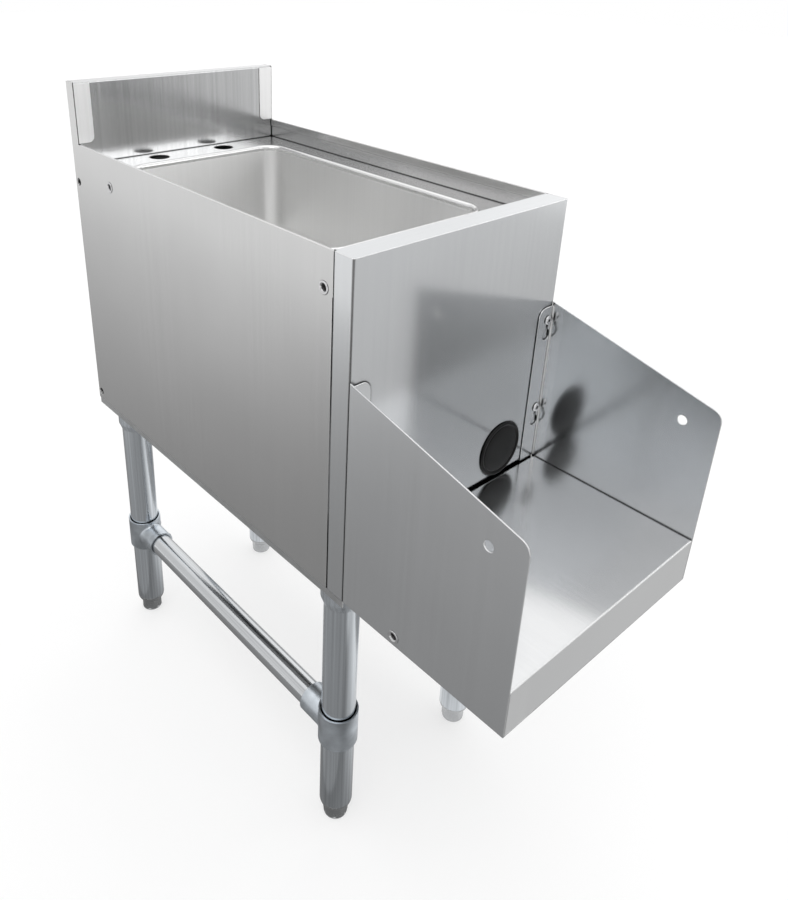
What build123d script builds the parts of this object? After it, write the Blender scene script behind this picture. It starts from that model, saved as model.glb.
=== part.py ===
"""Underbar blender station with a dump sink.

A narrow stainless sheet-metal body on four tube legs. A deep bowl hangs in a deck that is sunk
below the rim, a low splash stands at the back, and a lift-off shelf for a blender hangs on the
front by keyhole slots. All sizes are in millimetres. The floor is z = 0, the front faces -Y,
and the origin lies on the floor under the middle of the whole footprint.
"""
from build123d import *
import os

os.makedirs("parts", exist_ok=True)

# Overall sizes
station_width = 304.8
shelf_reach = 207.0
rim_height = 774.0
body_height = 372.0

# Sheet metal and the clearances between sheets
sheet = 1.2
flange = 20.0
sheet_gap = 0.4
corner_seam = 1.2
bend_radius = 2.0
fit_clearance = 0.05

# Front fascia and side panels
fascia_return = 24.5
rim_strip = 27.0
hem_thickness = 1.4
hem_height = 9.0
seam_step = 0.8
seam_step_drop = 44.0
rear_hole_radius = 5.0
rear_hole_inset = 8.0
rear_hole_rise = 12.0
rear_hole_drop = 50.0

# Deck, bowl and splash
deck_drop = 25.0
deck_flange = 6.0
bowl_width = 226.0
bowl_length = 388.0
bowl_front_land = 82.0
bowl_rear_land = 70.0
bowl_depth = 127.0
bowl_corner = 22.0
bowl_cove = 16.0
bowl_roll = 4.0
bead_width = 6.0
bead_height = 1.6
bead_edge_round = 1.3
splash_rise = 101.6
splash_depth = 17.0
splash_gap = 0.8
faucet_spacing = 101.6
faucet_hole_radius = 13.5
faucet_setback = 22.0

# Rivet nuts in the side panels and in the shelf
nut_drop = 38.0
nut_setbacks = (38.5, 445.0)
nut_thread_radius = 4.0
nut_barrel_radius = 5.5
nut_barrel_length = 13.0
nut_flange_radius = 6.8
nut_flange_thickness = 0.8

# Drain
seat_radius = 45.0
seat_depth = 3.0
drain_flange_radius = 43.0
drain_flange_thickness = 2.0
drain_tail_radius = 23.9
drain_tail_length = 59.0
drain_bore_radius = 19.5
gasket_radius = 38.0
gasket_thickness = 3.0
locknut_radius = 40.0
locknut_height = 10.0
locknut_sides = 6
tailpiece_radius = 19.05
tailpiece_wall = 1.2
tailpiece_length = 150.0
tailpiece_insertion = 30.0
slip_nut_radius = 33.0
slip_nut_height = 24.0
slip_nut_sides = 8
strainer_radius = 36.5
strainer_thickness = 1.2
strainer_hole_radius = 2.0
strainer_hole_counts = (8, 16)
strainer_ring_radii = (10.0, 16.5)
strainer_knob_radius = 6.0
strainer_knob_height = 12.0
strainer_knob_round = 2.4

# Leg channels, sockets and tubes
channel_depth = 9.0
channel_wall = 2.0
channel_side_gap = 0.5
leg_inset = 40.4
leg_front_setback = 45.0
leg_rear_inset = 25.0
leg_radius = 20.65
leg_wall = 1.5
leg_end_height = 28.5
socket_radius = 24.5
socket_length = 38.5
socket_taper = 9.0
socket_lip = 0.8
socket_plate = 2.5
set_screw_radius = 4.0
set_screw_stand = 2.0
socket_screw_drop = 30.0

# Levelling feet
insert_shoulder = 9.5
insert_shoulder_radius = 16.0
insert_depth = 35.0
insert_bulge_radius = 12.0
foot_flats = 28.0
foot_sides = 6
foot_gap = 0.5
foot_base_round = 1.5
foot_turn = 15.0
stem_radius = 8.0
stem_length = 55.0

# Side rails and the tees that hold them
rail_height = 157.0
rail_radius = 15.875
rail_wall = 1.5
tee_radius = 24.2
tee_height = 51.0
tee_branch_radius = 19.2
tee_reach = 50.0
tee_chamfer = 3.0
tee_mouth_chamfer = 1.4
tee_branch_round = 3.0
rail_screw_inset = 10.0
rail_end_gap = 5.0

# Blender shelf
shelf_floor_height = 52.0
shelf_side_rear = 254.0
shelf_side_front = 203.0
shelf_corner = 12.0
shelf_gap = 0.3
shelf_rear_gap = 3.5
shelf_flange = 24.2
shelf_flange_top = 250.0
shelf_flange_corner = 11.0
shelf_pan_flange = 14.0
apron_return = 16.0
hang_hole_radius = 5.25
hang_hole_setback = 38.0
hang_hole_height = 180.5
shelf_nut_setback = 134.0
shelf_nut_height = 10.0

# Keyhole slots and the screws that the shelf hangs on
screw_inset = 8.9
screw_drops = (128.0, 16.0)
screw_head_radius = 5.5
screw_head_height = 2.4
screw_head_round = 1.5
screw_shank_radius = 2.4
screw_length = 14.0
screw_stand = 0.2
slot_radius = 2.9
keyhole_radius = 6.8
keyhole_drop = 18.0

# Plug in the cord hole of the fascia
plug_inset = 68.4
plug_rise = 36.0
plug_flange_radius = 33.5
plug_flange_thickness = 2.5
plug_flange_round = 1.5
plug_hole_radius = 31.0
plug_spigot_radius = 30.7
plug_spigot_length = 14.0
plug_wall = 2.2
plug_dish_radius = 27.0
plug_dish_depth = 0.9

# Places worked out from the sizes above
half_width = station_width / 2
inner_x = half_width - sheet
body_depth = bowl_front_land + bowl_length + bowl_rear_land
front_y = -(body_depth + shelf_reach) / 2
fascia_y = front_y + shelf_reach
rear_y = fascia_y + body_depth
body_bottom = rim_height - body_height
deck_z = rim_height - deck_drop
splash_top = deck_z + splash_rise
splash_y = rear_y - splash_depth
seam_step_height = rim_height - seam_step_drop
rear_hole_heights = (body_bottom + rear_hole_rise, rim_height - rear_hole_drop)
nut_height = rim_height - nut_drop
panel_front = fascia_y + fascia_return + corner_seam
deck_front = fascia_y + rim_strip + sheet_gap
deck_half = inner_x - sheet_gap
bowl_y = fascia_y + bowl_front_land + bowl_length / 2
bowl_weld = deck_z - sheet - bowl_roll
bowl_floor = deck_z - bowl_depth
seat_floor = bowl_floor - seat_depth
seat_under = seat_floor - sheet
drain_end = seat_floor - drain_tail_length
channel_bottom = body_bottom - channel_depth
leg_x = half_width - leg_inset
leg_front_y = fascia_y + leg_front_setback
leg_rear_y = rear_y - leg_rear_inset
leg_places = {
    "front_left": (-leg_x, leg_front_y),
    "front_right": (leg_x, leg_front_y),
    "rear_left": (-leg_x, leg_rear_y),
    "rear_right": (leg_x, leg_rear_y),
}
socket_top = body_bottom - channel_wall
socket_screw_height = socket_top - socket_screw_drop
shelf_floor = body_bottom + shelf_floor_height
shelf_back = fascia_y - shelf_gap
shelf_flange_face = shelf_back - sheet
shelf_nut_y = front_y + shelf_nut_setback
shelf_nut_z = body_bottom + shelf_nut_height
screw_x = half_width - screw_inset
screw_heights = [body_bottom + shelf_flange_top - drop for drop in screw_drops]
plug_x = half_width - plug_inset
plug_height = shelf_floor + plug_rise


def slab(x, y, z, mode=Mode.ADD):
    """A plate between two corners, each argument being its low and high value."""
    with Locations(((x[0] + x[1]) / 2, (y[0] + y[1]) / 2, (z[0] + z[1]) / 2)):
        Box(x[1] - x[0], y[1] - y[0], z[1] - z[0], mode=mode)


def rod(start, direction, radius, length, mode=Mode.ADD):
    """A round bar or hole that starts at a point and runs along a direction."""
    with Locations(Plane(origin=start, z_dir=direction)):
        Cylinder(radius, length, align=(Align.CENTER, Align.CENTER, Align.MIN), mode=mode)


def save(part, name):
    """Labels a finished piece and writes it to its own file."""
    part.label = name
    export_step(part, f"parts/{name}.step")


def save_pair(right_part, left_name, right_name):
    """Writes a right-hand piece and its mirror image."""
    left_part = mirror(right_part, about=Plane.YZ)
    save(right_part, right_name)
    save(left_part, left_name)


# Side panels: one sheet each, hemmed along the rim, with an ear that closes the end of the splash
with BuildPart() as side_panel:
    with BuildSketch(Plane.YZ.offset(inner_x)):
        with BuildLine():
            Polyline(
                (panel_front + seam_step, body_bottom),
                (rear_y, body_bottom),
                (rear_y, splash_top),
                (splash_y, splash_top),
                (splash_y, rim_height),
                (panel_front, rim_height),
                (panel_front, seam_step_height),
                (panel_front + seam_step, seam_step_height),
                close=True,
            )
        make_face()
    extrude(amount=sheet)
    hem_x = (inner_x - hem_thickness, inner_x)
    slab(hem_x, (deck_front, splash_y), (rim_height - hem_height, rim_height))
    lip_x = (inner_x - flange, inner_x)
    panel_edge = panel_front + seam_step
    slab(lip_x, (panel_edge, panel_edge + sheet), (body_bottom, seam_step_height))
    slab(lip_x, (panel_edge, rear_y - flange - sheet), (body_bottom, body_bottom + sheet))
    for setback in nut_setbacks:
        nut_hole = nut_barrel_radius + fit_clearance
        rod((0, fascia_y + setback, nut_height), (1, 0, 0), nut_hole, station_width, Mode.SUBTRACT)
    for height in rear_hole_heights:
        rear_hole = (0, rear_y - rear_hole_inset, height)
        rod(rear_hole, (1, 0, 0), rear_hole_radius, station_width, Mode.SUBTRACT)
save_pair(side_panel.part, "left_side_panel", "right_side_panel")


# Front fascia: face, side returns, top strip and the lip that drops to the deck, bent from one sheet
with BuildPart() as front_fascia:
    slab((-half_width, half_width), (fascia_y, fascia_y + fascia_return), (body_bottom, rim_height))
    slab(
        (-inner_x + sheet, inner_x - sheet),
        (fascia_y, fascia_y + rim_strip),
        (deck_z, rim_height),
    )
    fascia_corners = front_fascia.edges().filter_by(Axis.Z).group_by(Axis.Y)[0]
    fillet(fascia_corners, bend_radius)
    slab(
        (-inner_x, inner_x),
        (fascia_y + sheet, fascia_y + fascia_return),
        (body_bottom + sheet, deck_z),
        Mode.SUBTRACT,
    )
    slab(
        (-inner_x + 2 * sheet, inner_x - 2 * sheet),
        (fascia_y + sheet, fascia_y + rim_strip - sheet),
        (deck_z, rim_height - sheet),
        Mode.SUBTRACT,
    )
    rod((plug_x, fascia_y, plug_height), (0, 1, 0), plug_hole_radius, sheet, Mode.SUBTRACT)
    for side in (-1, 1):
        for height in screw_heights:
            screw_hole = screw_shank_radius + fit_clearance
            rod((side * screw_x, fascia_y, height), (0, 1, 0), screw_hole, sheet, Mode.SUBTRACT)
save(front_fascia.part, "front_fascia")


# Back panel: a flat sheet with flanges that lie against the side panels
with BuildPart() as back_panel:
    back_half = inner_x - fit_clearance
    flange_top = seam_step_height
    slab((-back_half, back_half), (rear_y - sheet, rear_y), (body_bottom, rim_height))
    slab((-back_half, back_half), (rear_y - flange, rear_y), (body_bottom, body_bottom + sheet))
    for side in (-1, 1):
        flange_x = sorted((side * back_half, side * (back_half - sheet)))
        slab(flange_x, (rear_y - flange, rear_y), (body_bottom, flange_top))
    for height in rear_hole_heights:
        rear_hole = (-half_width, rear_y - rear_hole_inset, height)
        rod(rear_hole, (1, 0, 0), rear_hole_radius, station_width, Mode.SUBTRACT)
save(back_panel.part, "back_panel")


# Backsplash: a hollow upstand on the deck, closed at its ends by the ears of the side panels
with BuildPart() as backsplash:
    splash_half = inner_x - splash_gap
    slab((-splash_half, splash_half), (splash_y, rear_y), (deck_z, splash_top))
    splash_edge = backsplash.edges().filter_by(Axis.X).group_by(Axis.Z)[-1].sort_by(Axis.Y)[0]
    fillet(splash_edge, bend_radius)
    slab(
        (-splash_half + sheet, splash_half - sheet),
        (splash_y + sheet, rear_y - sheet),
        (deck_z, splash_top - sheet),
        Mode.SUBTRACT,
    )
    slab(
        (-splash_half, splash_half),
        (rear_y - sheet - sheet_gap, rear_y),
        (deck_z, rim_height + sheet_gap),
        Mode.SUBTRACT,
    )
save(backsplash.part, "backsplash")


# Sink: the cavity first, then the deck with its rolled edge, and the drawn bowl welded below it
with BuildPart() as bowl_cavity:
    with BuildSketch(Plane(origin=(0, bowl_y, deck_z + bead_height))):
        RectangleRounded(bowl_width, bowl_length, bowl_corner)
    extrude(amount=-(bowl_depth + bead_height))
    fillet(bowl_cavity.edges().group_by(Axis.Z)[0], bowl_cove)
    rod((0, bowl_y, seat_floor), (0, 0, 1), seat_radius, seat_depth)

with BuildPart() as sink_deck:
    deck_rear = rear_y - sheet - sheet_gap
    slab((-deck_half, deck_half), (deck_front, deck_rear), (deck_z - sheet, deck_z))
    slab(
        (-deck_half, deck_half),
        (deck_front, deck_front + sheet),
        (deck_z - deck_flange, deck_z),
    )
    for side in (-1, 1):
        flange_x = sorted((side * deck_half, side * (deck_half - sheet)))
        slab(flange_x, (deck_front, deck_rear - flange), (deck_z - deck_flange, deck_z))
    with BuildSketch(Plane(origin=(0, bowl_y, deck_z + bead_height))):
        bead_corner = bowl_corner + bead_width
        RectangleRounded(bowl_width + 2 * bead_width, bowl_length + 2 * bead_width, bead_corner)
    extrude(amount=bowl_weld - deck_z - bead_height)
    add(bowl_cavity.part, mode=Mode.SUBTRACT)
    bead_face = sink_deck.faces().sort_by(Axis.Z)[-1]
    fillet(bead_face.inner_wires()[0].edges(), bowl_roll)
    bead_face = sink_deck.faces().sort_by(Axis.Z)[-1]
    fillet(bead_face.outer_wire().edges(), bead_edge_round)
    for side in (-1, 1):
        faucet_hole = (side * faucet_spacing / 2, splash_y - faucet_setback, deck_z - sheet)
        rod(faucet_hole, (0, 0, 1), faucet_hole_radius, sheet, Mode.SUBTRACT)
save(sink_deck.part, "sink_deck")

with BuildPart() as sink_bowl:
    with BuildSketch(Plane(origin=(0, bowl_y, bowl_weld))):
        RectangleRounded(bowl_width + 2 * sheet, bowl_length + 2 * sheet, bowl_corner + sheet)
    extrude(amount=bowl_floor - sheet - bowl_weld)
    fillet(sink_bowl.edges().group_by(Axis.Z)[0], bowl_cove + sheet)
    rod((0, bowl_y, seat_under), (0, 0, 1), seat_radius + sheet, seat_depth + sheet)
    add(bowl_cavity.part, mode=Mode.SUBTRACT)
    drain_hole = drain_tail_radius + fit_clearance
    rod((0, bowl_y, seat_under - sheet), (0, 0, 1), drain_hole, seat_depth + sheet, Mode.SUBTRACT)
save(sink_bowl.part, "sink_bowl")


# Rivet nut: a threaded barrel behind the sheet and a thin flange on its outside
def rivet_nut(side, y, z):
    outward = (side, 0, 0)
    barrel_start = (side * (half_width - nut_barrel_length), y, z)
    rod(barrel_start, outward, nut_barrel_radius, nut_barrel_length)
    rod((side * half_width, y, z), outward, nut_flange_radius, nut_flange_thickness)
    bore_length = nut_barrel_length + nut_flange_thickness
    rod(barrel_start, outward, nut_thread_radius, bore_length, Mode.SUBTRACT)


# Two rivet nuts in each side panel, for joining the station to the next one along the bar
with BuildPart() as rivet_nuts:
    for side in (-1, 1):
        for setback in nut_setbacks:
            rivet_nut(side, fascia_y + setback, nut_height)
save(rivet_nuts.part, "rivet_nuts")


# Drain: a flanged body in the seat of the bowl, with its gasket, locknut, tailpiece and slip nut
with BuildPart() as drain_body:
    strainer_seat = seat_floor + drain_flange_thickness - strainer_thickness
    rod((0, bowl_y, seat_floor), (0, 0, 1), drain_flange_radius, drain_flange_thickness)
    rod((0, bowl_y, drain_end), (0, 0, 1), drain_tail_radius, drain_tail_length)
    rod(
        (0, bowl_y, strainer_seat),
        (0, 0, 1),
        strainer_radius + sheet_gap,
        strainer_thickness,
        Mode.SUBTRACT,
    )
    bore_length = drain_tail_length + drain_flange_thickness
    rod((0, bowl_y, drain_end), (0, 0, 1), drain_bore_radius, bore_length, Mode.SUBTRACT)
save(drain_body.part, "drain_body")

with BuildPart() as drain_gasket:
    gasket_start = (0, bowl_y, seat_under - gasket_thickness)
    rod(gasket_start, (0, 0, 1), gasket_radius, gasket_thickness)
    rod(gasket_start, (0, 0, 1), drain_hole, gasket_thickness, Mode.SUBTRACT)
save(drain_gasket.part, "drain_gasket")

with BuildPart() as drain_locknut:
    locknut_bottom = seat_under - gasket_thickness - locknut_height
    with BuildSketch(Plane(origin=(0, bowl_y, locknut_bottom))):
        RegularPolygon(locknut_radius, locknut_sides)
        Circle(drain_hole, mode=Mode.SUBTRACT)
    extrude(amount=locknut_height)
save(drain_locknut.part, "drain_locknut")

with BuildPart() as drain_tailpiece:
    tailpiece_top = drain_end + tailpiece_insertion
    with BuildSketch(Plane(origin=(0, bowl_y, tailpiece_top))):
        Circle(tailpiece_radius)
        Circle(tailpiece_radius - tailpiece_wall, mode=Mode.SUBTRACT)
    extrude(amount=-tailpiece_length)
save(drain_tailpiece.part, "drain_tailpiece")

with BuildPart() as slip_nut:
    slip_nut_bottom = drain_end - slip_nut_height / 2
    slip_nut_point = (0, bowl_y, slip_nut_bottom)
    with BuildSketch(Plane(origin=slip_nut_point)):
        RegularPolygon(slip_nut_radius, slip_nut_sides)
    extrude(amount=slip_nut_height)
    rod((0, bowl_y, drain_end), (0, 0, 1), drain_hole, slip_nut_height, Mode.SUBTRACT)
    sleeve = tailpiece_radius + fit_clearance
    rod(slip_nut_point, (0, 0, 1), sleeve, slip_nut_height, Mode.SUBTRACT)
save(slip_nut.part, "slip_nut")


# Drain strainer: a loose perforated plate with a knob to lift it out by
with BuildPart() as drain_strainer:
    strainer_point = (0, bowl_y, strainer_seat)
    rod(strainer_point, (0, 0, 1), strainer_radius, strainer_thickness)
    for count, ring_radius in zip(strainer_hole_counts, strainer_ring_radii):
        with Locations(Plane(origin=strainer_point)):
            with PolarLocations(ring_radius, count):
                Cylinder(strainer_hole_radius, 4 * strainer_thickness, mode=Mode.SUBTRACT)
    rod(strainer_point, (0, 0, 1), strainer_knob_radius, strainer_knob_height)
    fillet(drain_strainer.edges().group_by(Axis.Z)[-1], strainer_knob_round)
save(drain_strainer.part, "drain_strainer")


# Leg channels: shallow inverted channels under the body, flush with the side panels
with BuildPart() as leg_channel:
    channel_outer = half_width - channel_side_gap
    channel_x = (2 * leg_x - channel_outer, channel_outer)
    channel_y = (fascia_y + sheet, rear_y - sheet)
    slab(channel_x, channel_y, (channel_bottom, body_bottom))
    slab(
        (channel_x[0] + channel_wall, channel_x[1] - channel_wall),
        channel_y,
        (channel_bottom, socket_top),
        Mode.SUBTRACT,
    )
save_pair(leg_channel.part, "left_leg_channel", "right_leg_channel")


# Leg sockets: a plate inside the channel and a tapered sleeve that takes the leg tube
def leg_socket(x, y):
    side = 1 if x > 0 else -1
    sleeve_bottom = socket_top - socket_plate - socket_length - socket_taper
    with BuildPart() as socket:
        plate_half = socket_radius
        slab(
            (x - plate_half, x + plate_half),
            (y - plate_half, y + plate_half),
            (socket_top - socket_plate, socket_top),
        )
        rod((x, y, sleeve_bottom), (0, 0, 1), socket_radius, socket_length + socket_taper)
        sleeve_end = socket.edges().group_by(Axis.Z)[0]
        chamfer(sleeve_end, socket_taper, socket_radius - leg_radius - socket_lip)
        leg_hole = leg_radius + fit_clearance
        hole_length = socket_length + socket_taper
        rod((x, y, sleeve_bottom), (0, 0, 1), leg_hole, hole_length, Mode.SUBTRACT)
        screw_bore = set_screw_radius + fit_clearance
        inboard = (x, y, socket_screw_height)
        rod(inboard, (-side, 0, 0), screw_bore, 2 * socket_radius, Mode.SUBTRACT)
    return socket.part


for corner, (x, y) in leg_places.items():
    save(leg_socket(x, y), f"leg_socket_{corner}")


# Set screws that clamp the leg tubes in their sockets
with BuildPart() as socket_set_screws:
    for x, y in leg_places.values():
        side = 1 if x > 0 else -1
        screw_tip = (x - side * (leg_radius + fit_clearance), y, socket_screw_height)
        screw_reach = socket_radius + set_screw_stand - leg_radius - fit_clearance
        rod(screw_tip, (-side, 0, 0), set_screw_radius, screw_reach)
save(socket_set_screws.part, "socket_set_screws")


# Legs: round tube, from inside the socket down to the shoulder above the foot
def leg_tube(x, y):
    tube_top = socket_top - socket_plate - sheet_gap
    with BuildPart() as tube:
        with BuildSketch(Plane(origin=(x, y, leg_end_height))):
            Circle(leg_radius)
            Circle(leg_radius - leg_wall, mode=Mode.SUBTRACT)
        extrude(amount=tube_top - leg_end_height)
    return tube.part


# Leg inserts: a threaded plug in the end of the tube, with a rounded shoulder below it
def leg_insert(x, y):
    shoulder_bottom = leg_end_height - insert_shoulder
    plug_radius = leg_radius - leg_wall - fit_clearance
    with BuildPart() as insert:
        with BuildSketch(Plane(origin=(x, y, 0), x_dir=(1, 0, 0), z_dir=(0, -1, 0))):
            with BuildLine():
                top_of_plug = leg_end_height + insert_depth
                Line((0, shoulder_bottom), (insert_shoulder_radius, shoulder_bottom))
                RadiusArc(
                    (insert_shoulder_radius, shoulder_bottom),
                    (leg_radius, leg_end_height),
                    -insert_bulge_radius,
                )
                Line((leg_radius, leg_end_height), (plug_radius, leg_end_height))
                Line((plug_radius, leg_end_height), (plug_radius, top_of_plug))
                Line((plug_radius, top_of_plug), (0, top_of_plug))
                Line((0, top_of_plug), (0, shoulder_bottom))
            make_face()
        revolve(axis=Axis((x, y, 0), (0, 0, 1)))
        stem_hole = stem_radius + fit_clearance
        hole_length = insert_shoulder + insert_depth
        rod((x, y, shoulder_bottom), (0, 0, 1), stem_hole, hole_length, Mode.SUBTRACT)
    return insert.part


# Feet: a hexagonal base with rounded edges on a threaded stem
def levelling_foot(x, y):
    foot_top = leg_end_height - insert_shoulder - foot_gap
    with BuildPart() as foot:
        with BuildSketch(Plane(origin=(x, y, 0))):
            RegularPolygon(foot_flats / 2, foot_sides, major_radius=False, rotation=foot_turn)
        extrude(amount=foot_top)
        fillet(foot.edges().filter_by(Axis.Z), foot_base_round)
        fillet(foot.edges().group_by(Axis.Z)[0], foot_base_round)
        rod((x, y, foot_top), (0, 0, 1), stem_radius, stem_length)
    return foot.part


for corner, (x, y) in leg_places.items():
    save(leg_tube(x, y), f"leg_tube_{corner}")
    save(leg_insert(x, y), f"leg_insert_{corner}")
    save(levelling_foot(x, y), f"foot_{corner}")


# Tees: cast fittings, a collar round the leg with one branch towards the other leg of its side.
# The right-hand ones are built here, with their set screws to the left, and then mirrored.
def rail_tee(x, y):
    inward = (0, 1 if y < 0 else -1, 0)
    collar_bottom = rail_height - tee_height / 2
    collar_point = (x, y, collar_bottom)
    axis_point = (x, y, rail_height)
    with BuildPart() as tee:
        rod(collar_point, (0, 0, 1), tee_radius, tee_height)
        chamfer(tee.edges().group_by(Axis.Z)[0], tee_chamfer)
        rod(axis_point, inward, tee_branch_radius, tee_reach)
        fillet(tee.edges().filter_by(GeomType.BSPLINE), tee_branch_round)
        leg_hole = leg_radius + fit_clearance
        rod(collar_point, (0, 0, 1), leg_hole, tee_height, Mode.SUBTRACT)
        mouth_edge = tee.edges().group_by(Axis.Z)[-1].sort_by(SortBy.LENGTH)[0]
        chamfer(mouth_edge, tee_mouth_chamfer)
        branch_start = Vector(axis_point) + Vector(inward) * (leg_radius + rail_end_gap)
        rail_hole = rail_radius + fit_clearance
        rod(branch_start, inward, rail_hole, tee_reach, Mode.SUBTRACT)
        screw_bore = set_screw_radius + fit_clearance
        rod(tee_screw_point(x, y, 0), (-1, 0, 0), screw_bore, tee_radius, Mode.SUBTRACT)
        rod(tee_screw_point(x, y, 1), (-1, 0, 0), screw_bore, tee_radius, Mode.SUBTRACT)
    return tee.part


# Each tee has one set screw on the leg and one on the rail, both on its inboard side
def tee_screw_point(x, y, on_rail):
    side = 1 if x > 0 else -1
    inward = 1 if y < 0 else -1
    rail_screw_reach = tee_reach - rail_screw_inset
    if on_rail:
        return (x - side * (rail_radius + fit_clearance), y + inward * rail_screw_reach, rail_height)
    return (x - side * (leg_radius + fit_clearance), y, rail_height)


with BuildPart() as tee_set_screws:
    for x, y in leg_places.values():
        side = 1 if x > 0 else -1
        leg_reach = tee_radius + set_screw_stand - leg_radius - fit_clearance
        rail_reach = tee_branch_radius + set_screw_stand - rail_radius - fit_clearance
        rod(tee_screw_point(x, y, 0), (-side, 0, 0), set_screw_radius, leg_reach)
        rod(tee_screw_point(x, y, 1), (-side, 0, 0), set_screw_radius, rail_reach)
save(tee_set_screws.part, "tee_set_screws")

for end in ("front", "rear"):
    tee_place = leg_places[f"{end}_right"]
    save_pair(rail_tee(*tee_place), f"rail_tee_{end}_left", f"rail_tee_{end}_right")


# Side rails: one tube on each side, from the front tee to the rear tee
with BuildPart() as side_rail:
    rail_front = leg_front_y + leg_radius + rail_end_gap + sheet_gap
    rail_rear = leg_rear_y - leg_radius - rail_end_gap - sheet_gap
    rod((leg_x, rail_front, rail_height), (0, 1, 0), rail_radius, rail_rear - rail_front)
    rod(
        (leg_x, rail_front, rail_height),
        (0, 1, 0),
        rail_radius - rail_wall,
        rail_rear - rail_front,
        Mode.SUBTRACT,
    )
save_pair(side_rail.part, "left_side_rail", "right_side_rail")


# Blender shelf sides: sloping cheeks with a rear flange that hangs on the fascia by keyholes
with BuildPart() as shelf_side:
    cheek_rear_top = body_bottom + shelf_side_rear
    cheek_front_top = body_bottom + shelf_side_front
    with BuildSketch(Plane.YZ.offset(inner_x)):
        with BuildLine():
            Polyline(
                (front_y, body_bottom),
                (shelf_back, body_bottom),
                (shelf_back, cheek_rear_top),
                (front_y, cheek_front_top),
                close=True,
            )
        make_face()
    extrude(amount=sheet)
    front_corner = shelf_side.edges().filter_by(Axis.X).group_by(Axis.Y)[0].sort_by(Axis.Z)[-1]
    fillet(front_corner, shelf_corner)
    slab(
        (inner_x - shelf_flange, inner_x),
        (shelf_flange_face, shelf_back),
        (shelf_floor + sheet, body_bottom + shelf_flange_top),
    )
    flange_corner = shelf_side.edges().filter_by(Axis.Y).group_by(Axis.X)[0].sort_by(Axis.Z)[-1]
    fillet(flange_corner, shelf_flange_corner)
    for height in screw_heights:
        slot_x = (screw_x - slot_radius, screw_x + slot_radius)
        slot_y = (shelf_flange_face, shelf_back)
        slab(slot_x, slot_y, (height - keyhole_drop, height), Mode.SUBTRACT)
        through = (0, 1, 0)
        rod((screw_x, shelf_flange_face, height), through, slot_radius, sheet, Mode.SUBTRACT)
        keyhole_point = (screw_x, shelf_flange_face, height - keyhole_drop)
        rod(keyhole_point, through, keyhole_radius, sheet, Mode.SUBTRACT)
    hang_point = (0, front_y + hang_hole_setback, body_bottom + hang_hole_height)
    rod(hang_point, (1, 0, 0), hang_hole_radius, station_width, Mode.SUBTRACT)
    nut_point = (0, shelf_nut_y, shelf_nut_z)
    nut_hole = nut_barrel_radius + fit_clearance
    rod(nut_point, (1, 0, 0), nut_hole, station_width, Mode.SUBTRACT)
save_pair(shelf_side.part, "shelf_left_side", "shelf_right_side")


# One rivet nut low in each shelf side, for joining the shelf to the next unit
with BuildPart() as shelf_nuts:
    for side in (-1, 1):
        rivet_nut(side, shelf_nut_y, shelf_nut_z)
save(shelf_nuts.part, "shelf_nuts")


# Blender shelf pan: flat floor with a deep apron in front and flanges against the cheeks
with BuildPart() as shelf_pan:
    pan_half = inner_x - shelf_gap
    pan_rear = fascia_y - shelf_rear_gap
    flange_z = (shelf_floor - shelf_pan_flange, shelf_floor)
    slab((-pan_half, pan_half), (front_y, pan_rear), (shelf_floor - sheet, shelf_floor))
    slab((-pan_half, pan_half), (front_y, front_y + sheet), (body_bottom, shelf_floor))
    slab(
        (-pan_half, pan_half),
        (front_y, front_y + apron_return),
        (body_bottom, body_bottom + sheet),
    )
    slab((-pan_half, pan_half), (pan_rear - sheet, pan_rear), flange_z)
    for side in (-1, 1):
        slab(sorted((side * pan_half, side * (pan_half - sheet))), (front_y, pan_rear), flange_z)
    apron_edge = shelf_pan.edges().filter_by(Axis.X).group_by(Axis.Z)[-1].sort_by(Axis.Y)[0]
    fillet(apron_edge, bend_radius / 2)
save(shelf_pan.part, "shelf_pan")


# Shelf screws: pan heads that stand off the fascia by the thickness of the shelf flange
with BuildPart() as shelf_screws:
    for side in (-1, 1):
        for height in screw_heights:
            head_back = shelf_flange_face - screw_stand
            head_front = head_back - screw_head_height
            rod((side * screw_x, head_front, height), (0, 1, 0), screw_head_radius, screw_head_height)
            shank_length = fascia_y + screw_length - head_back
            rod((side * screw_x, head_back, height), (0, 1, 0), screw_shank_radius, shank_length)
    fillet(shelf_screws.edges().group_by(Axis.Y)[0], screw_head_round)
save(shelf_screws.part, "shelf_screws")


# Cord hole plug: a plastic cup that snaps into the hole in the fascia
with BuildPart() as cord_hole_plug:
    plug_front = (plug_x, fascia_y - plug_flange_thickness, plug_height)
    rod(plug_front, (0, 1, 0), plug_flange_radius, plug_flange_thickness)
    fillet(cord_hole_plug.edges().group_by(Axis.Y)[0], plug_flange_round)
    rod((plug_x, fascia_y, plug_height), (0, 1, 0), plug_spigot_radius, plug_spigot_length)
    rod(
        (plug_x, fascia_y, plug_height),
        (0, 1, 0),
        plug_spigot_radius - plug_wall,
        plug_spigot_length,
        Mode.SUBTRACT,
    )
    rod(plug_front, (0, 1, 0), plug_dish_radius, plug_dish_depth, Mode.SUBTRACT)
save(cord_hole_plug.part, "cord_hole_plug")
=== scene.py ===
"""Looks of the blender station with a dump sink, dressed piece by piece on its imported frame."""
import math

import bmesh
import bpy
from mathutils import Matrix, Vector


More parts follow.
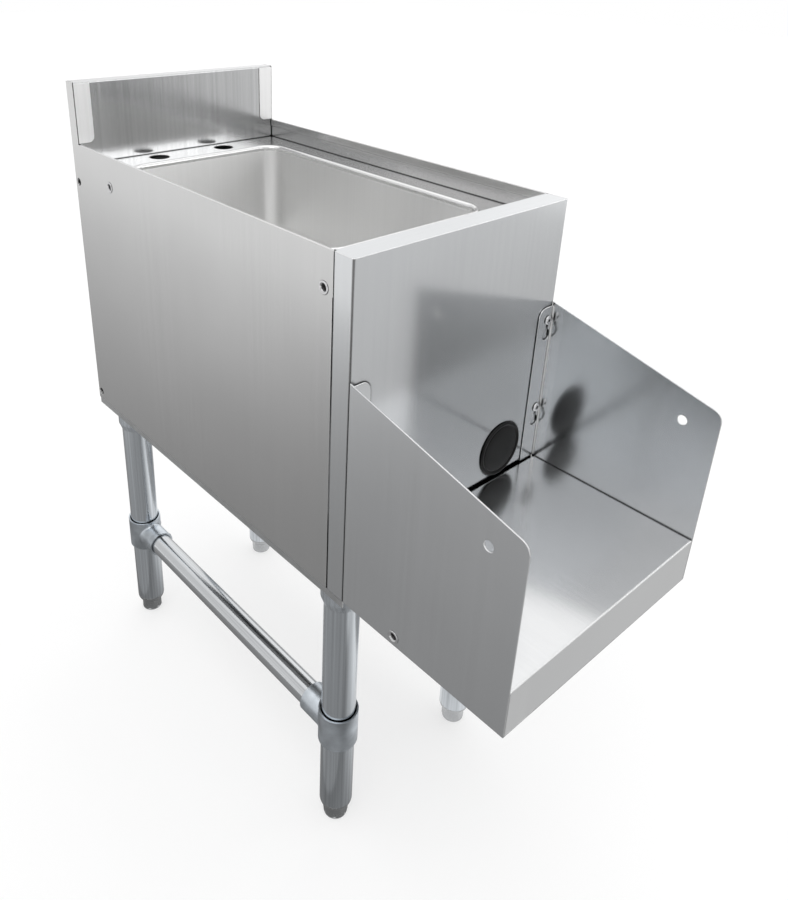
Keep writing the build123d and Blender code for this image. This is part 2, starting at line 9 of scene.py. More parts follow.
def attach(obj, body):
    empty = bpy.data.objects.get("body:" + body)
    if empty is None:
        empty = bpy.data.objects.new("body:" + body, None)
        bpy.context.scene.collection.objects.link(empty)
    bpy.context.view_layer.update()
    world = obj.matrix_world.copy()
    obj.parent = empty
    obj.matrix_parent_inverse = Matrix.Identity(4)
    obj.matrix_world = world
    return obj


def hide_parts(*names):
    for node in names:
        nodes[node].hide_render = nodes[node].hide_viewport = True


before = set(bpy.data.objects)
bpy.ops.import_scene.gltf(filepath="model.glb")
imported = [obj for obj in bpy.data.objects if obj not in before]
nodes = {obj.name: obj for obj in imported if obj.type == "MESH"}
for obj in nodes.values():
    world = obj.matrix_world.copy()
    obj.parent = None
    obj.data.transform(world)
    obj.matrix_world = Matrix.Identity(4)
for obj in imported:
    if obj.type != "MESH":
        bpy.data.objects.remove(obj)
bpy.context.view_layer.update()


# Photograph's view: camera left of the front and above the rim, fitted to the corners of the station.
# The frame is a crop of a larger picture, so the lens is shifted a little. The shift is kept somewhat
# smaller than the best fit, which costs a match of about 2 pixels and keeps other views better centred.
photo_width, photo_height = 788, 900
focal_pixels = 824.3
centre_x, centre_y = 342.2, 319.0
camera_place = (-0.5892, -0.6435, 1.0118)
azimuth, elevation, roll = (math.radians(a) for a in (-41.749, 24.364, 1.578))
back = Vector((
    math.sin(azimuth) * math.cos(elevation),
    -math.cos(azimuth) * math.cos(elevation),
    math.sin(elevation),
))
level = Vector((0, 0, 1)).cross(back).normalized()
upright = back.cross(level)
right = math.cos(roll) * level + math.sin(roll) * upright
up = math.cos(roll) * upright - math.sin(roll) * level
camera_data = bpy.data.cameras.new("photo_camera")
camera_data.sensor_fit = "HORIZONTAL"
camera_data.sensor_width = 36.0
camera_data.lens = camera_data.sensor_width * focal_pixels / photo_width
camera_data.shift_x = (photo_width / 2 - centre_x) / photo_width
camera_data.shift_y = (centre_y - photo_height / 2) / photo_width
camera = bpy.data.objects.new("photo_camera", camera_data)
turn = Matrix((right, up, back)).transposed().to_4x4()
camera.matrix_world = Matrix.Translation(camera_place) @ turn
bpy.context.scene.collection.objects.link(camera)
bpy.context.scene.camera = camera
bpy.context.scene.view_settings.view_transform = "Standard"


# Studio: a white floor inside a white tent, with soft boxes overhead and round the sides.
# Camera and reflections see the floor a little paler than it is lit, so its shadow stays soft.
def wire(tree, kind, settings=None, **inputs):
    """Adds a shader node. An input is a value, or the output socket that feeds it.

    An input is named as on the node, with _ for each space, or by its number: i0, i1 and so on.
    """
    made = tree.nodes.new("ShaderNode" + kind)
    for key, value in (settings or {}).items():
        setattr(made, key, value)
    for key, value in inputs.items():
        by_number = key[0] == "i" and key[1:].isdigit()
        socket = made.inputs[int(key[1:]) if by_number else key.replace("_", " ")]
        if isinstance(value, bpy.types.NodeSocket):
            tree.links.new(value, socket)
        else:
            socket.default_value = value
    return made


def add_mesh(name, points, faces, material):
    """Adds a mesh object made of the given points and faces."""
    mesh = bpy.data.meshes.new(name)
    mesh.from_pydata([tuple(p) for p in points], [], faces)
    mesh.materials.append(material)
    made = bpy.data.objects.new(name, mesh)
    bpy.context.scene.collection.objects.link(made)
    return made


floor_reach, floor_tone, paper_share = 12.0, 0.94, 0.6
floor_paint = bpy.data.materials.new("floor_paint")
floor_paint.use_nodes = True
tree = floor_paint.node_tree
tree.nodes.clear()
lit = wire(tree, "BsdfDiffuse", Color=(floor_tone, floor_tone, floor_tone, 1))
paper = wire(tree, "Emission", Color=(1, 1, 1, 1), Strength=1.0)
path = wire(tree, "LightPath")
seen = wire(tree, "Math", {"operation": "MAXIMUM"},
            i0=path.outputs["Is Camera Ray"], i1=path.outputs["Is Glossy Ray"])
share = wire(tree, "Math", {"operation": "MULTIPLY"}, i0=seen.outputs[0], i1=paper_share)
mixed = wire(tree, "MixShader", i0=share.outputs[0], i1=lit.outputs[0], i2=paper.outputs[0])
wire(tree, "OutputMaterial", Surface=mixed.outputs[0])
floor_corners = [(x * floor_reach, y * floor_reach, 0) for x, y in ((-1, -1), (1, -1), (1, 1), (-1, 1))]
add_mesh("studio_floor", floor_corners, [(0, 1, 2, 3)], floor_paint)

tent = bpy.data.worlds.new("white_tent")
bpy.context.scene.world = tent
tent.use_nodes = True
tree = tent.node_tree
tent_place = wire(tree, "TexCoord")

# each soft box: its direction, its strength, and the angles in degrees where it starts to fade and ends
soft_boxes = (
    ((0, 0.1, 1), 0.7, 10, 50),
    ((0.62, 0.60, 0.35), 0.35, 10, 35),
    ((0.95, 0.25, 0.60), 0.2, 10, 28),
    ((0.45, -0.89, 0.25), 1.3, 6, 20),
    ((-0.48, -0.28, 0.83), 1.1, 8, 24),
    ((0.81, -0.39, 0.44), 0.8, 8, 24),
)
tent_level = 0.8
light = tent_level
for direction, strength, inner, outer in soft_boxes:
    towards = wire(tree, "VectorMath", {"operation": "DOT_PRODUCT"},
                   i0=tent_place.outputs["Generated"], i1=Vector(direction).normalized())
    patch = wire(tree, "MapRange", {"interpolation_type": "SMOOTHSTEP"}, Value=towards.outputs["Value"],
                 From_Min=math.cos(math.radians(outer)), From_Max=math.cos(math.radians(inner)),
                 To_Max=strength)
    light = wire(tree, "Math", i0=light, i1=patch.outputs[0]).outputs[0]
path = wire(tree, "LightPath")
tent_light = wire(tree, "Mix", Factor=path.outputs["Is Camera Ray"], A=light, B=1.0)
tree.links.new(tent_light.outputs[0], tree.nodes["Background"].inputs["Strength"])
tree.nodes["Background"].inputs["Color"].default_value = (1, 1, 1, 1)


# Grey cards: the flags that stand round bright metal, so that its flat faces show a tone.
# Only reflections see them, and each blends from one grey to another.
def grey_card(name, corners, tones, turn_from=0.0, turn_to=1.0):
    """A card that blends between four tones: two at the ends of its first edge, two at those of its third.

    Along the first edge, the blend runs only between the two given shares of its length.
    """
    paint = bpy.data.materials.new(name)
    paint.use_nodes = True
    tree = paint.node_tree
    tree.nodes.clear()
    origin, edge_end, far_end = Vector(corners[0]), Vector(corners[1]), Vector(corners[3])
    place = wire(tree, "TexCoord").outputs["Object"]
    offset = wire(tree, "VectorMath", {"operation": "SUBTRACT"}, i0=place, i1=origin).outputs[0]

    def share_of(side, low, high):
        """A smooth 0 to 1 along one side of the card."""
        share = wire(tree, "VectorMath", {"operation": "DOT_PRODUCT"},
                     i0=offset, i1=side / side.length_squared).outputs["Value"]
        smooth = {"interpolation_type": "SMOOTHSTEP"}
        return wire(tree, "MapRange", smooth, Value=share, From_Min=low, From_Max=high).outputs[0]

    along = share_of(edge_end - origin, turn_from, turn_to)
    across = share_of(far_end - origin, 0.0, 1.0)
    first = wire(tree, "Mix", Factor=along, A=tones[0], B=tones[1])
    third = wire(tree, "Mix", Factor=along, A=tones[3], B=tones[2])
    tone = wire(tree, "Mix", Factor=across, A=first.outputs[0], B=third.outputs[0])
    shine = wire(tree, "Emission", Strength=tone.outputs[0])
    wire(tree, "OutputMaterial", Surface=shine.outputs[0])
    card = add_mesh(name, corners, [(0, 1, 2, 3)], paint)
    card.visible_camera = False
    card.visible_diffuse = False
    card.visible_shadow = False


def floor_card(name, x, y, tones, turn_from=0.0, turn_to=1.0):
    """A card on the floor, whose first edge runs from y[0] to y[1] at x[0]."""
    lift = 0.002
    corners = [(x[0], y[0], lift), (x[0], y[1], lift), (x[1], y[1], lift), (x[1], y[0], lift)]
    grey_card(name, corners, tones, turn_from, turn_to)


# The floor cards also paint the station's shadow into reflections: a painted shadow, darkest close to the
# station.
floor_card("left_floor_card", (-0.17, -1.25), (-1.6, 3.5), (0.30, 0.34, 0.80, 0.46), 0.35, 0.57)
floor_card("right_floor_card", (0.17, 1.25), (-0.45, 3.5), (0.35, 0.35, 0.85, 0.85))
floor_card("under_shadow_card", (-0.17, 0.17), (-0.45, 1.6), (0.20, 0.20, 0.90, 0.90))
floor_card("apron_card", (-0.17, 2.4), (-0.45, -2.0), (0.60, 0.78, 0.78, 0.60))
wall_corners = [(0.2, -2.0, 0), (0.2, -2.0, 0.8), (2.3, -2.0, 0.8), (2.3, -2.0, 0)]
grey_card("front_card", wall_corners, (0.2, 0.2, 0.85, 0.85))


# Body: fascia, side panels and back panel, folded from brushed stainless sheet about 1.2 mm thick.
# The brush lines run up and down. Folded edges carry a painted highlight that makes them brighter than the
# flats, but the upright folds of the fascia and the back carry a painted reflection that is dark, as a round
# bend mirrors the dark parts of a room.
noise_low, noise_high = 0.3, 0.7
edge_starts, edge_full = 0.995, 0.85


def from_noise(tree, noise, low, high):
    """A value that follows the noise from low to high."""
    return wire(tree, "MapRange", Value=noise, From_Min=noise_low, From_Max=noise_high,
                To_Min=low, To_Max=high).outputs[0]


def rounded_edges(tree, radius, most=1.0):
    """The normal with its edges rounded off, and a share: 0 on the flats, and up to most on the edges."""
    rounded = wire(tree, "Bevel", {"samples": 4}, Radius=radius).outputs[0]
    flat = wire(tree, "NewGeometry").outputs["True Normal"]
    facing = wire(tree, "VectorMath", {"operation": "DOT_PRODUCT"}, i0=rounded, i1=flat).outputs["Value"]
    edge = wire(tree, "MapRange", Value=facing, From_Min=edge_starts, From_Max=edge_full, To_Max=most)
    return rounded, edge.outputs[0]


def with_painted_corner_shade(tree, colour, reach, closed_in, opened_up, darkest):
    """The colour, darkened in seams and corners by painted shade, where other faces are close."""
    openness = wire(tree, "AmbientOcclusion", {"samples": 12}, Distance=reach).outputs["AO"]
    unshaded = wire(tree, "MapRange", Value=openness, From_Min=closed_in, From_Max=opened_up, To_Min=darkest)
    return wire(tree, "VectorMath", {"operation": "SCALE"}, i0=colour, Scale=unshaded.outputs[0]).outputs[0]


def brushed_sheet(name, colour, grain, roughness=0.18, streaks=0.012, painted_fold_tone=0.82, fold_round=0.0012,
                  painted_seam_shade=(0.003, 0.62, 0.80), bent_corners=False):
    """Stainless sheet. Its brush lines run along grain[0] on upright faces and grain[1] on level ones.

    The painted fold tone is the colour painted on upright folds in place of their light: a pale tone is a
    painted highlight, a dark one a painted reflection. The painted seam shade is the reach of the painted
    shade line in a corner, and how open a place is where that line is darkest and where it ends. Bent corners
    take in upright folds that are rounded in the CAD, which the search for sharp edges misses.
    """
    metal = bpy.data.materials.new(name)
    metal.use_nodes = True
    tree = metal.node_tree
    shader = tree.nodes["Principled BSDF"]
    shader.inputs["Metallic"].default_value = 1.0
    shader.inputs["Anisotropic"].default_value = 0.4
    place = wire(tree, "TexCoord").outputs["Object"]
    lean = wire(tree, "SeparateXYZ", Vector=wire(tree, "NewGeometry").outputs["Normal"])
    steepness = wire(tree, "Math", {"operation": "ABSOLUTE"}, i0=lean.outputs["Z"])
    level_from = 0.7
    is_level = wire(tree, "Math", {"operation": "GREATER_THAN"}, i0=steepness.outputs[0], i1=level_from)

    def brush_lines(width, length):
        """Noise drawn out along the grain, for lines of this width and length in metres."""
        stretched = []
        for grain_axis in grain:
            scale = [1 / length if axis == grain_axis else 1 / width for axis in "XYZ"]
            stretched.append(wire(tree, "VectorMath", {"operation": "MULTIPLY"}, i0=place, i1=scale))
        upright_lines, level_lines = (lines.outputs[0] for lines in stretched)
        pick = wire(tree, "Mix", {"data_type": "VECTOR"},
                    Factor=is_level.outputs[0], i4=upright_lines, i5=level_lines)
        return wire(tree, "TexNoise", Vector=pick.outputs[1], Scale=1.0, Detail=3.0).outputs[0]

    wide_lines = brush_lines(width=0.0035, length=0.5)
    fine_lines = brush_lines(width=0.0008, length=0.12)
    hand_marks = wire(tree, "TexNoise", Vector=place, Scale=7.0, Detail=3.0).outputs[0]
    mottling = 0.02
    shade = wire(tree, "Math", {"operation": "MULTIPLY"},
                 i0=from_noise(tree, wide_lines, 1 - streaks, 1 + streaks),
                 i1=from_noise(tree, hand_marks, 1 - mottling, 1 + mottling))
    tint = wire(tree, "VectorMath", {"operation": "SCALE"}, i0=colour, Scale=shade.outputs[0])

    # folded and cut edges get a painted tone in place of their light: a painted highlight that is paler where
    # they face up, and a painted reflection where the fold tone is dark
    painted_top_highlight, top_from = 0.95, 0.5
    rounded, edge = rounded_edges(tree, fold_round)
    turned_to = wire(tree, "SeparateXYZ", Vector=rounded)
    if bent_corners:
        bend_starts, bend_full = 0.10, 0.35
        diagonal = wire(tree, "Math", {"operation": "MULTIPLY"},
                        i0=turned_to.outputs["X"], i1=turned_to.outputs["Y"])
        size = wire(tree, "Math", {"operation": "ABSOLUTE"}, i0=diagonal.outputs[0])
        bend = wire(tree, "MapRange", Value=size.outputs[0], From_Min=bend_starts, From_Max=bend_full)
        edge = wire(tree, "Math", {"operation": "MAXIMUM"}, i0=edge, i1=bend.outputs[0]).outputs[0]
    fold = wire(tree, "MapRange", Value=turned_to.outputs["Z"],
                From_Max=top_from, To_Min=painted_fold_tone, To_Max=painted_top_highlight).outputs[0]
    painted_fold_colour = wire(tree, "CombineColor", Red=fold, Green=fold, Blue=fold)
    edged = wire(tree, "Mix", {"data_type": "RGBA"},
                 Factor=edge, i6=tint.outputs[0], i7=painted_fold_colour.outputs[0])

    rough_spread, second_grain = 0.02, 0.02
    rough = from_noise(tree, fine_lines, roughness - rough_spread, roughness + rough_spread)
    relief = wire(tree, "Bump", Strength=0.012, Distance=0.0002, Height=fine_lines, Normal=rounded)
    grain_line = wire(tree, "CombineXYZ", **{grain[1]: second_grain, grain[0]: 1.0})
    # painted shade: the colour is darkened in seams and corners, where other faces are close
    whole_colour = with_painted_corner_shade(tree, edged.outputs[2], *painted_seam_shade, darkest=0.1)
    tree.links.new(whole_colour, shader.inputs["Base Color"])
    tree.links.new(rough, shader.inputs["Roughness"])
    tree.links.new(relief.outputs[0], shader.inputs["Normal"])
    tree.links.new(grain_line.outputs[0], shader.inputs["Tangent"])
    return metal


def finish(material, *names):
    """Gives CAD nodes their material."""
    for name in names:
        nodes[name].data.materials.clear()
        nodes[name].data.materials.append(material)


body_steel = brushed_sheet("body_steel", (0.64, 0.652, 0.664), "ZX", roughness=0.14, painted_fold_tone=0.15,
                           fold_round=0.0016, painted_seam_shade=(0.007, 0.78, 0.92), bent_corners=True)
finish(body_steel, "front_fascia", "back_panel")
side_steel = brushed_sheet("side_steel", (0.60, 0.60, 0.60), "ZY", roughness=0.20)
finish(side_steel, "left_side_panel", "right_side_panel")


# Backsplash: a hollow upstand folded from the same sheet, with stronger upright brush lines.
# A tab folded round from each side panel closes its ends, and is ground bright where it was welded.
finish(brushed_sheet("splash_steel", (0.60, 0.605, 0.61), "ZX", streaks=0.07), "backsplash")


def piece(name, points, faces, material, body, slot, stands_for=()):
    """Adds a piece of the station, smooth but for its sharp edges, that rides on a body."""
    made = add_mesh(name, points, faces, material)
    shape = bmesh.new()
    shape.from_mesh(made.data)
    bmesh.ops.recalc_face_normals(shape, faces=shape.faces)
    shape.to_mesh(made.data)
    shape.free()
    for face in made.data.polygons:
        face.use_smooth = True
    made.data.set_sharp_from_angle(angle=math.radians(35))
    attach(made, body)
    if stands_for:
        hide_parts(*stands_for)
    return made


def filled_between(first_ring, second_ring):
    """Points and faces of the solid between two like outlines."""
    count = len(first_ring)
    walls = [(n, (n + 1) % count, count + (n + 1) % count, count + n) for n in range(count)]
    caps = [tuple(range(count)), tuple(range(count, 2 * count))]
    return first_ring + second_ring, walls + caps


inner_x = 0.1512
splash_face_y, splash_top_z, rim_z = 0.3565, 0.8506, 0.774
tab_width, tab_thickness, tab_round, tab_round_steps = 0.0215, 0.0007, 0.008, 6
tab_side_gap, tab_low_gap, tab_top_gap = 0.0002, 0.001, 0.0016
tab_steel = brushed_sheet("tab_steel", (0.88, 0.88, 0.88), "ZX", roughness=0.42, streaks=0.03)
for side, end in ((-1, "left"), (1, "right")):
    outer, inner = side * (inner_x - tab_side_gap), side * (inner_x - tab_width)
    low, high = rim_z + tab_low_gap, splash_top_z - tab_top_gap
    outline = [(outer, high), (outer, low), (inner + side * tab_round, low)]
    for step in range(1, tab_round_steps + 1):
        angle = math.radians(90 * step / tab_round_steps)
        across = inner + side * tab_round * (1 - math.sin(angle))
        outline.append((across, low + tab_round * (1 - math.cos(angle))))
    outline.append((inner, high))
    back_ring = [(x, splash_face_y, z) for x, z in outline]
    front_ring = [(x, splash_face_y - tab_thickness, z) for x, z in outline]
    tab = filled_between(back_ring, front_ring)
    piece(f"splash_tab_{end}", *tab, tab_steel, "station", "sheet_steel")


# Deck and bowl: the deck with its raised, rolled bead, and the drawn bowl welded under it.
# The bowl is polished along its length and up its walls after the draw, so it is duller than the body.
# The deck and the bowl are painted paler than the body, a painted highlight for the light they catch from
# above.
finish(brushed_sheet("deck_steel", (0.82, 0.82, 0.82), "ZX", roughness=0.22), "sink_deck")
bowl_steel = brushed_sheet("bowl_steel", (0.82, 0.82, 0.815), "ZY", roughness=0.42)
bowl_steel.node_tree.nodes["Principled BSDF"].inputs["Anisotropic"].default_value = 0.85
finish(bowl_steel, "sink_bowl")


# Blender shelf: a pan between two cheeks, bent from the same sheet, with a satin finish that looks a
# little blue. The bend between each cheek and the rear flange that it hangs by is rounded, and is painted
# paler than the cheeks: a painted highlight that shows as a bright line down the corner.
cheek_steel = brushed_sheet("cheek_steel", (0.68, 0.692, 0.704), "ZY", painted_seam_shade=(0.003, 0.25, 0.45))
finish(cheek_steel, "shelf_left_side", "shelf_right_side")
pan_steel = brushed_sheet("pan_steel", (0.727, 0.732, 0.738), "ZY", fold_round=0.0026,
                          painted_seam_shade=(0.005, 0.62, 0.85))
finish(pan_steel, "shelf_pan")

# a painted highlight: the bends are painted paler than the cheeks, for the bright line down each corner
painted_highlight_bend_steel = brushed_sheet("painted_highlight_bend_steel", (0.93, 0.93, 0.93), "ZY", roughness=0.30)
bend_round, bend_steps = 0.0020, 8
flange_face_y, bend_low, bend_high = -0.1680, 0.4555, 0.6515
for side, end in ((-1, "left"), (1, "right")):
    section = [(side * inner_x, flange_face_y)]
    for step in range(bend_steps + 1):
        angle = math.radians(90 * step / bend_steps)
        across = inner_x - bend_round * (1 - math.sin(angle))
        section.append((side * across, flange_face_y - bend_round * (1 - math.cos(angle))))
    low_ring = [(x, y, bend_low) for x, y in section]
    high_ring = [(x, y, bend_high) for x, y in section]
    piece(f"shelf_bend_{end}", *filled_between(low_ring, high_ring), painted_highlight_bend_steel, "shelf", "sheet_steel")


# Drain: a chrome plated brass body in the bowl, sealed by a rubber gasket and held by a turned locknut.
# A plated tailpiece hangs under it from a slip nut, and a loose strainer sits in it.
def plain_finish(name, colour, metallic, roughness, spread, grain_scale, depth, patches=0.05,
                 shade_reach=0.003):
    """A finish with a fine all-over grain and soft patches, such as a casting, a plating or a moulding."""
    made = bpy.data.materials.new(name)
    made.use_nodes = True
    tree = made.node_tree
    shader = tree.nodes["Principled BSDF"]
    shader.inputs["Metallic"].default_value = metallic
    place = wire(tree, "TexCoord").outputs["Object"]
    grains = wire(tree, "TexNoise", Vector=place, Scale=grain_scale, Detail=4.0).outputs[0]
    clouds = wire(tree, "TexNoise", Vector=place, Scale=35.0, Detail=2.0).outputs[0]
    shade = from_noise(tree, clouds, 1 - patches, 1 + patches)
    tint = wire(tree, "VectorMath", {"operation": "SCALE"}, i0=colour, Scale=shade).outputs[0]
    # edges are made paler: partly wear, partly a painted highlight
    wear_and_highlight_gain, edge_round = 1.35, 0.0008
    worn_and_highlit = wire(tree, "VectorMath", {"operation": "SCALE"}, i0=tint, Scale=wear_and_highlight_gain).outputs[0]
    rounded, edge = rounded_edges(tree, edge_round, most=0.5)
    edged = wire(tree, "Mix", {"data_type": "RGBA"}, Factor=edge, i6=tint, i7=worn_and_highlit)
    rough = from_noise(tree, grains, roughness - spread, roughness + spread)
    relief = wire(tree, "Bump", Strength=0.3, Distance=depth, Height=grains, Normal=rounded)
    # painted shade: the colour is darkened in seams and corners, where other faces are close
    whole_colour = with_painted_corner_shade(tree, edged.outputs[2], shade_reach, 0.4, 0.8, darkest=0.06)
    tree.links.new(whole_colour, shader.inputs["Base Color"])
    tree.links.new(rough, shader.inputs["Roughness"])
    tree.links.new(relief.outputs[0], shader.inputs["Normal"])
    return made


drain_chrome = plain_finish("drain_chrome", (0.80, 0.80, 0.82), metallic=1.0, roughness=0.10, spread=0.04,
                            grain_scale=300.0, depth=0.00005)
finish(drain_chrome, "drain_body", "drain_strainer", "drain_tailpiece")
seal_rubber = plain_finish("seal_rubber", (0.045, 0.045, 0.045), metallic=0.0, roughness=0.70, spread=0.08,
                           grain_scale=900.0, depth=0.0002)
finish(seal_rubber, "drain_gasket")
nut_brass = plain_finish("nut_brass", (0.72, 0.60, 0.36), metallic=1.0, roughness=0.30, spread=0.08,
                         grain_scale=500.0, depth=0.0001)
finish(nut_brass, "drain_locknut", "slip_nut")


# Leg channels: mill finish steel channels fixed inside the sides, which carry the body on its legs.
# Only a strip of each shows, under its side panel.
channel_steel = plain_finish("channel_steel", (0.50, 0.505, 0.51), metallic=1.0, roughness=0.38,
                             spread=0.08, grain_scale=400.0, depth=0.0001, patches=0.1)
finish(channel_steel, "left_leg_channel", "right_leg_channel")


# Legs and rails: polished stainless tube, cut to length. The legs stand in sockets under the channels,
# and a rail joins the two legs of each side. The polishing lines run along the tube.
corners = ("front_left", "front_right", "rear_left", "rear_right")
tube_steel = brushed_sheet("tube_steel", (0.66, 0.695, 0.73), "ZZ", roughness=0.16, streaks=0.16)
finish(tube_steel, *(f"leg_tube_{c}" for c in corners))
rail_steel = brushed_sheet("rail_steel", (0.60, 0.615, 0.63), "YY", roughness=0.16, streaks=0.16)
finish(rail_steel, "left_side_rail", "right_side_rail")


# Sockets and tees: collars that slide over the tubes and are held by set screws.
# The tees are bead blasted castings, and the sockets are polished lengthwise like the legs.
cast_metal = plain_finish("cast_metal", (0.56, 0.60, 0.64), metallic=1.0, roughness=0.34, spread=0.08,
                          grain_scale=1500.0, depth=0.0002, patches=0.30)
finish(cast_metal, *(f"rail_tee_{c}" for c in corners))
socket_steel = brushed_sheet("socket_steel", (0.65, 0.69, 0.73), "ZZ", roughness=0.20, streaks=0.14)
finish(socket_steel, *(f"leg_socket_{c}" for c in corners))


# Feet: turned inserts in the leg ends, and hexagonal feet milled from bar on threaded stems.
# Each foot is turned round at its base, screws down by up to 25 mm and shows its thread.
foot_steel = plain_finish("foot_steel", (0.50, 0.51, 0.52), metallic=1.0, roughness=0.24, spread=0.05,
                          grain_scale=700.0, depth=0.0001)
finish(foot_steel, *(f"leg_insert_{c}" for c in corners))


def turned(rings, start, axis, across, sides=48, ring_shaped=False):
    """Points and faces of a turned shape.

    Each ring has a radius, or a function that gives the radius at an angle, and a place along the axis.
    A ring-shaped one has no ends, because its last ring meets its first.
    """
    start, axis, across = Vector(start), Vector(axis), Vector(across)
    third = axis.cross(across)
    points, faces = [], []
    for radius, along in rings:
        for step in range(sides):
            angle = math.tau * step / sides
            reach = radius(angle) if callable(radius) else radius
            points.append(start + along * axis + reach * (math.cos(angle) * across + math.sin(angle) * third))
    for ring in range(len(rings) if ring_shaped else len(rings) - 1):
        this, following = ring * sides, (ring + 1) % len(rings) * sides
        for step in range(sides):
            after = (step + 1) % sides
            faces.append((this + step, this + after, following + after, following + step))
    if not ring_shaped:
        faces.append(tuple(range(sides)))
        faces.append(tuple(range(len(points) - sides, len(points))))
    return points, faces


def hexagon(across_flats, largest_radius, flat_angle=0.0):
    """The radius of a hexagonal bar at an angle, with its corners turned down."""
    def radius(angle):
        from_flat = (angle - flat_angle + math.pi / 6) % (math.pi / 3) - math.pi / 6
        return min(across_flats / 2 / math.cos(from_flat), largest_radius)
    return radius


def thread(outer_radius, depth, pitch, along):
    """The radius of a screw thread at an angle, at one place along the screw."""
    def radius(angle):
        turn = (along / pitch - angle / math.tau) % 1
        return outer_radius - depth * abs(2 * turn - 1)
    return radius


foot_height, across_flats, top_across_flats = 0.0185, 0.0280, 0.0270
foot_turn = math.radians(45)
stem_top, stem_outer, stem_pitch, thread_depth, stem_steps = 0.0735, 0.0079, 0.002, 0.0008, 160
foot_rings = [
    (0.0142, 0.0),
    (0.0149, 0.0007),
    (0.0151, 0.0020),
    (hexagon(across_flats, 0.0157, foot_turn), 0.0032),
    (hexagon(across_flats, 0.0159, foot_turn), foot_height - 0.0012),
    (hexagon(across_flats, 0.0150, foot_turn), foot_height - 0.0002),
    (hexagon(top_across_flats, 0.0145, foot_turn), foot_height),
    (stem_outer - thread_depth, foot_height),
]
for step in range(1, stem_steps):
    along = foot_height + (stem_top - foot_height) * step / stem_steps
    foot_rings.append((thread(stem_outer, thread_depth, stem_pitch, along), along))
foot_rings.append((stem_outer - 0.0010, stem_top))
leg_places = {
    "front_left": (-0.112, -0.1215),
    "front_right": (0.112, -0.1215),
    "rear_left": (-0.112, 0.3485),
    "rear_right": (0.112, 0.3485),
}
for corner, (x, y) in leg_places.items():
    foot = turned(foot_rings, (x, y, 0), (0, 0, 1), (1, 0, 0))
    piece(f"milled_foot_{corner}", *foot, foot_steel, f"{corner}_foot", "foot_steel", [f"foot_{corner}"])


# Rivet nuts: plated steel nuts clenched into holes in the side panels and the shelf's cheeks.
# Each has a thin chamfered flange outside the sheet and a threaded barrel behind it.
screw_steel = plain_finish("screw_steel", (0.66, 0.66, 0.67), metallic=1.0, roughness=0.20, spread=0.05,
                           grain_scale=900.0, depth=0.00005, shade_reach=0.008)
half_width = 0.1524
nut_length, nut_pitch, nut_crest, nut_root, nut_turns = 0.013, 0.00125, 0.0034, 0.00395, 10
nut_rings = [(0.0055, -nut_length), (0.0055, 0.0), (0.0068, 0.0), (0.0068, 0.0004), (0.0064, 0.0008),
             (0.0048, 0.0008), (0.0041, 0.0003)]
for half_turn in range(2 * nut_turns):
    nut_rings.append((nut_root if half_turn % 2 else nut_crest, -nut_pitch / 2 * (half_turn + 1)))
nut_rings.append((0.0040, -nut_length))


def joined(shapes):
    """One list of points and one of faces from several shapes."""
    points, faces = [], []
    for more_points, more_faces in shapes:
        faces += [tuple(n + len(points) for n in face) for face in more_faces]
        points += more_points
    return points, faces


def rivet_nuts(places):
    """Rivet nuts that face outwards at these places on the side of the station."""
    shapes = []
    for place in places:
        outwards = (math.copysign(1, place[0]), 0, 0)
        shapes.append(turned(nut_rings, place, outwards, (0, 0, 1), sides=36, ring_shaped=True))
    return joined(shapes)


panel_nut_z, panel_nut_ys = 0.736, (-0.128, 0.2785)
shelf_nut_z, shelf_nut_y = 0.412, -0.2395
panel_nuts = [(side * half_width, y, panel_nut_z) for side in (-1, 1) for y in panel_nut_ys]
shelf_nuts = [(side * half_width, shelf_nut_y, shelf_nut_z) for side in (-1, 1)]
piece("threaded_panel_nuts", *rivet_nuts(panel_nuts), screw_steel, "station", "screw_steel", ["rivet_nuts"])
piece("threaded_shelf_nuts", *rivet_nuts(shelf_nuts), screw_steel, "shelf", "screw_steel", ["shelf_nuts"])


# Shelf screws: plated steel button heads with a hexagonal socket, screwed into the fascia.
# The keyholes of the shelf hang on them.
head_x, head_y, head_zs = 0.1435, -0.1682, (0.524, 0.636)
socket = hexagon(0.0036, 0.0021)
screw_rings = [(0.0019, -0.0157), (0.0024, -0.0152), (0.0024, 0.0), (0.0053, 0.0), (0.0055, 0.0003),
               (0.0055, 0.0008), (0.0052, 0.0014), (0.0045, 0.0020), (0.0034, 0.0024), (0.0024, 0.0024),
               (socket, 0.0022), (socket, 0.0011), (0.0005, 0.0009)]
heads = [(side * head_x, head_y, z) for side in (-1, 1) for z in head_zs]
screws = joined([turned(screw_rings, place, (0, -1, 0), (0, 0, 1)) for place in heads])
piece("button_head_screws", *screws, screw_steel, "station", "screw_steel", ["shelf_screws"])


# Set screws: plated steel, one in each leg socket and two in each tee, each with a hexagonal socket.
# They are driven in from the inboard side until they bite on the tube.
def set_screw(start, direction, length):
    """A set screw that starts on the tube and stands out of its casting."""
    wide_socket = hexagon(0.0040, 0.0023)
    rings = [(0.0030, 0.0), (0.0039, 0.0007), (0.0039, length - 0.0006), (0.0034, length), (0.0026, length),
             (wide_socket, length - 0.0002), (wide_socket, length - 0.0022), (0.0005, length - 0.0025)]
    return turned(rings, start, direction, (0, 0, 1), sides=36)


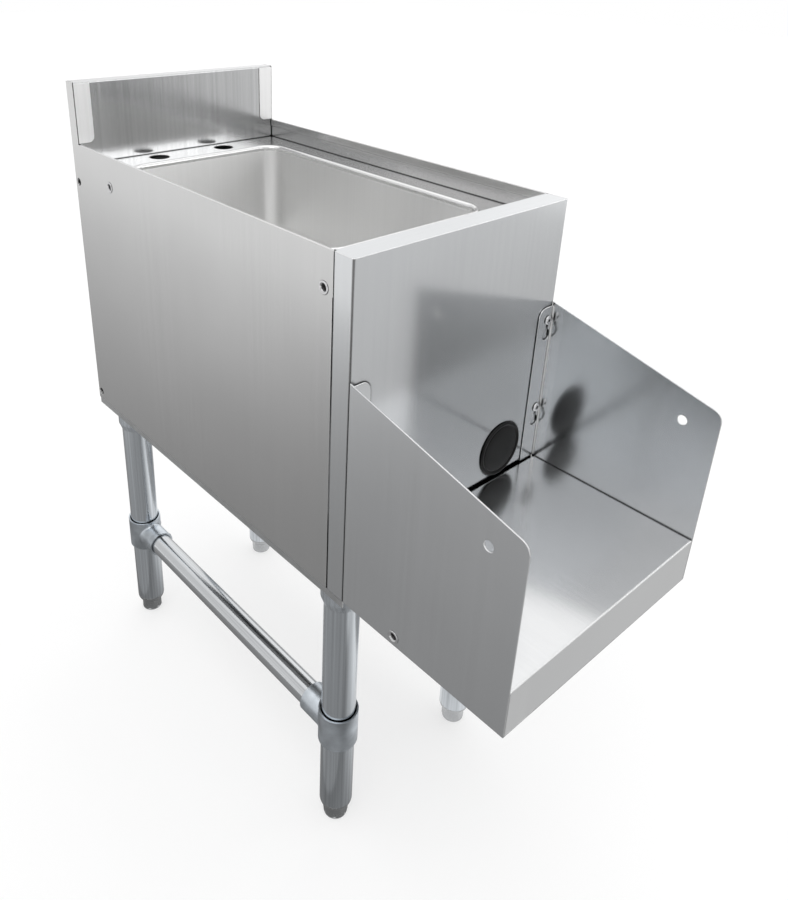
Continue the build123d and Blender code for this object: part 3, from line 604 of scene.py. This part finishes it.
leg_face, rail_face, rail_screw_reach = 0.0207, 0.015925, 0.040
socket_screw_z, rail_z = 0.370, 0.157
socket_screw_length, tee_screw_length, rail_screw_length = 0.0058, 0.0055, 0.005275
in_sockets, in_tees = [], []
for x, y in leg_places.values():
    inboard = -math.copysign(1, x)
    along_rail = 1 if y < 0 else -1
    leg_x, rail_x = x + inboard * leg_face, x + inboard * rail_face
    in_sockets.append(set_screw((leg_x, y, socket_screw_z), (inboard, 0, 0), socket_screw_length))
    in_tees.append(set_screw((leg_x, y, rail_z), (inboard, 0, 0), tee_screw_length))
    rail_place = (rail_x, y + along_rail * rail_screw_reach, rail_z)
    in_tees.append(set_screw(rail_place, (inboard, 0, 0), rail_screw_length))
piece("socketed_leg_screws", *joined(in_sockets), screw_steel, "station", "screw_steel",
      ["socket_set_screws"])
piece("socketed_tee_screws", *joined(in_tees), screw_steel, "station", "screw_steel", ["tee_set_screws"])


# Cord hole plug: a cup moulded in black plastic and pushed into the cord hole of the fascia.
# It has a rounded rim, a groove inside the rim and a slightly crowned face.
plug_plastic = plain_finish("black_plastic", (0.007, 0.007, 0.007), metallic=0.0, roughness=0.40,
                            spread=0.06, grain_scale=1200.0, depth=0.0001)
plug_plastic.node_tree.nodes["Principled BSDF"].inputs["Specular IOR Level"].default_value = 0.2
plug_place = (0.084, -0.1665, 0.490)
plug_rings = [(0.0005, 0.0), (0.0285, 0.0), (0.0285, -0.014), (0.0302, -0.014), (0.0307, -0.0125),
              (0.0307, -0.002), (0.0305, 0.0), (0.0330, 0.0), (0.0335, 0.0004), (0.0335, 0.0011),
              (0.0331, 0.0019), (0.0323, 0.0024), (0.0313, 0.0025), (0.0303, 0.0022), (0.0296, 0.0015),
              (0.0291, 0.0010), (0.0285, 0.0011), (0.0278, 0.0016), (0.0262, 0.0019), (0.0150, 0.0021),
              (0.0005, 0.0022)]
plug = turned(plug_rings, plug_place, (0, -1, 0), (0, 0, 1), sides=96)
piece("moulded_plug", *plug, plug_plastic, "plug", "black_plastic", ["cord_hole_plug"])
